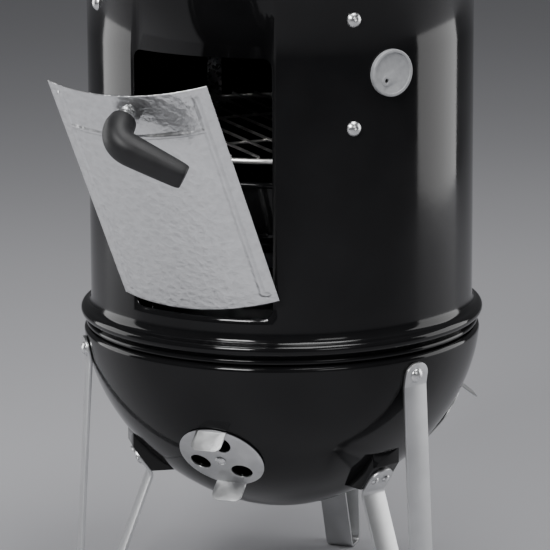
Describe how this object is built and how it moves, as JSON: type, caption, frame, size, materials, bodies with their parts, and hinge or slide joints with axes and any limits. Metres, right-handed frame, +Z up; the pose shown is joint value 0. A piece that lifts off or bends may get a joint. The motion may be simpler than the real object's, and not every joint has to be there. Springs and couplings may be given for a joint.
{
  "type": "vertical water smoker",
  "caption": "Bullet-shaped charcoal water smoker on strap legs: domed lid, tall drum with a side door, grates and water pan inside, round bowl below.",
  "frame": {"origin": "on the floor under the middle of the bowl", "axes": "+Z up along the drum; the door faces -Y; +X is to the right of someone facing the door"},
  "size_m": [0.3967, 0.5613, 0.7895],
  "materials": {
    "black_enamel": "gloss porcelain enamel",
    "leg_aluminium": "satin",
    "damper_aluminium": "satin",
    "door_aluminium": "stucco embossed, satin",
    "zinc_steel": "zinc plated",
    "plated_rod": "nickel plated wire",
    "plain_steel": "mill finish",
    "grommet_rubber": "light grey silicone",
    "black_nylon": "glass-filled nylon, satin",
    "dial_face": "white printed dial with plain ticks",
    "clear_glass": "clear",
    "dial_needle": "red paint"
  },
  "bodies": {
    "bowl": {"charcoal_bowl": "black_enamel", "leg_bracket_left": "black_enamel", "leg_bracket_right": "black_enamel", "leg_bracket_rear": "black_enamel", "leg_left": "leg_aluminium", "leg_right": "leg_aluminium", "leg_rear": "leg_aluminium", "leg_upper_bolts": "zinc_steel", "leg_upper_nuts": "zinc_steel", "leg_lower_screws": "zinc_steel", "leg_lower_nuts": "zinc_steel", "damper_rivets": "zinc_steel", "charcoal_grate_tabs": "zinc_steel"},
    "bowl_damper_front": {"bowl_damper_front": "damper_aluminium"},
    "bowl_damper_right": {"bowl_damper_right": "damper_aluminium"},
    "bowl_damper_left": {"bowl_damper_left": "damper_aluminium"},
    "charcoal_grate": {"charcoal_grate": "plated_rod"},
    "charcoal_ring": {"charcoal_ring": "plain_steel"},
    "centre": {"centre_section": "black_enamel", "grill_hanger_front_left": "zinc_steel", "grill_hanger_front_right": "zinc_steel", "grill_hanger_back_left": "zinc_steel", "grill_hanger_back_right": "zinc_steel", "hanger_bolts": "zinc_steel", "hanger_nuts": "zinc_steel", "probe_grommet": "grommet_rubber"},
    "door": {"door_panel": "door_aluminium", "door_hook_left": "zinc_steel", "door_hook_right": "zinc_steel", "door_ferrule": "zinc_steel"},
    "door_lever": {"door_handle": "black_nylon", "door_spindle": "zinc_steel", "door_latch": "zinc_steel"},
    "water_pan": {"water_pan": "black_enamel"},
    "lower_grate": {"lower_grate": "plated_rod"},
    "upper_grate": {"upper_grate": "plated_rod"},
    "lid": {"lid_shell": "black_enamel", "lid_grip": "black_nylon", "lid_grip_shield": "damper_aluminium", "lid_grip_spacers": "zinc_steel", "lid_grip_screws": "zinc_steel", "thermometer_case": "zinc_steel", "thermometer_stem": "zinc_steel", "thermometer_nut": "zinc_steel", "lid_damper_rivet": "zinc_steel", "thermometer_face": "dial_face", "thermometer_lens": "clear_glass"},
    "needle": {"thermometer_needle": "dial_needle"},
    "lid_damper": {"lid_damper": "damper_aluminium"}
  },
  "joints": [
    {"name": "bowl_damper_front_turn", "type": "hinge", "parent": "bowl", "child": "bowl_damper_front", "pos_m": [0.00672, -0.15385, 0.18522], "axis": [0.0343, -0.7845, -0.6192], "range_deg": [0, 60]},
    {"name": "bowl_damper_right_turn", "type": "hinge", "parent": "bowl", "child": "bowl_damper_right", "pos_m": [0.12988, 0.08274, 0.18522], "axis": [0.6623, 0.4219, -0.6192], "range_deg": [0, 60]},
    {"name": "bowl_damper_left_turn", "type": "hinge", "parent": "bowl", "child": "bowl_damper_left", "pos_m": [-0.1366, 0.07111, 0.18522], "axis": [-0.6965, 0.3626, -0.6192], "range_deg": [0, 60]},
    {"name": "charcoal_grate_lift", "type": "slide", "parent": "bowl", "child": "charcoal_grate", "axis": [0, 0, 1], "range_m": [0, 0.02]},
    {"name": "charcoal_ring_lift", "type": "slide", "parent": "charcoal_grate", "child": "charcoal_ring", "axis": [0, 0, 1], "range_m": [0, 0.03]},
    {"name": "section_lift", "type": "slide", "parent": "bowl", "child": "centre", "axis": [0, 0, 1], "range_m": [0, 0.06]},
    {"name": "door_lean", "type": "hinge", "parent": "centre", "child": "door", "pos_m": [0, -0.2157, 0.3273], "axis": [0.9967, -0.0811, 0], "range_deg": [-30, 0]},
    {"name": "door_handle_turn", "type": "hinge", "parent": "door", "child": "door_lever", "pos_m": [-0.00993, -0.31155, 0.54638], "axis": [0.0108, -0.8669, -0.4984], "range_deg": [-56, 34]},
    {"name": "water_pan_lift", "type": "slide", "parent": "centre", "child": "water_pan", "axis": [0, 0, 1], "range_m": [0, 0.012]},
    {"name": "lower_grate_lift", "type": "slide", "parent": "centre", "child": "lower_grate", "axis": [0, 0, 1], "range_m": [0, 0.1]},
    {"name": "upper_grate_lift", "type": "slide", "parent": "centre", "child": "upper_grate", "axis": [0, 0, 1], "range_m": [0, 0.012]},
    {"name": "lid_lift", "type": "slide", "parent": "centre", "child": "lid", "axis": [0, 0, 1], "range_m": [0, 0.12]},
    {"name": "thermometer_needle_turn", "type": "hinge", "parent": "lid", "child": "needle", "pos_m": [0, -0.16807, 0.71649], "axis": [0, -0.6426, 0.7662], "range_deg": [-260, 0]},
    {"name": "lid_damper_turn", "type": "hinge", "parent": "lid", "child": "lid_damper", "pos_m": [0, 0.14561, 0.73073], "axis": [0, 0.4389, 0.8985], "range_deg": [0, 60]}
  ]
}
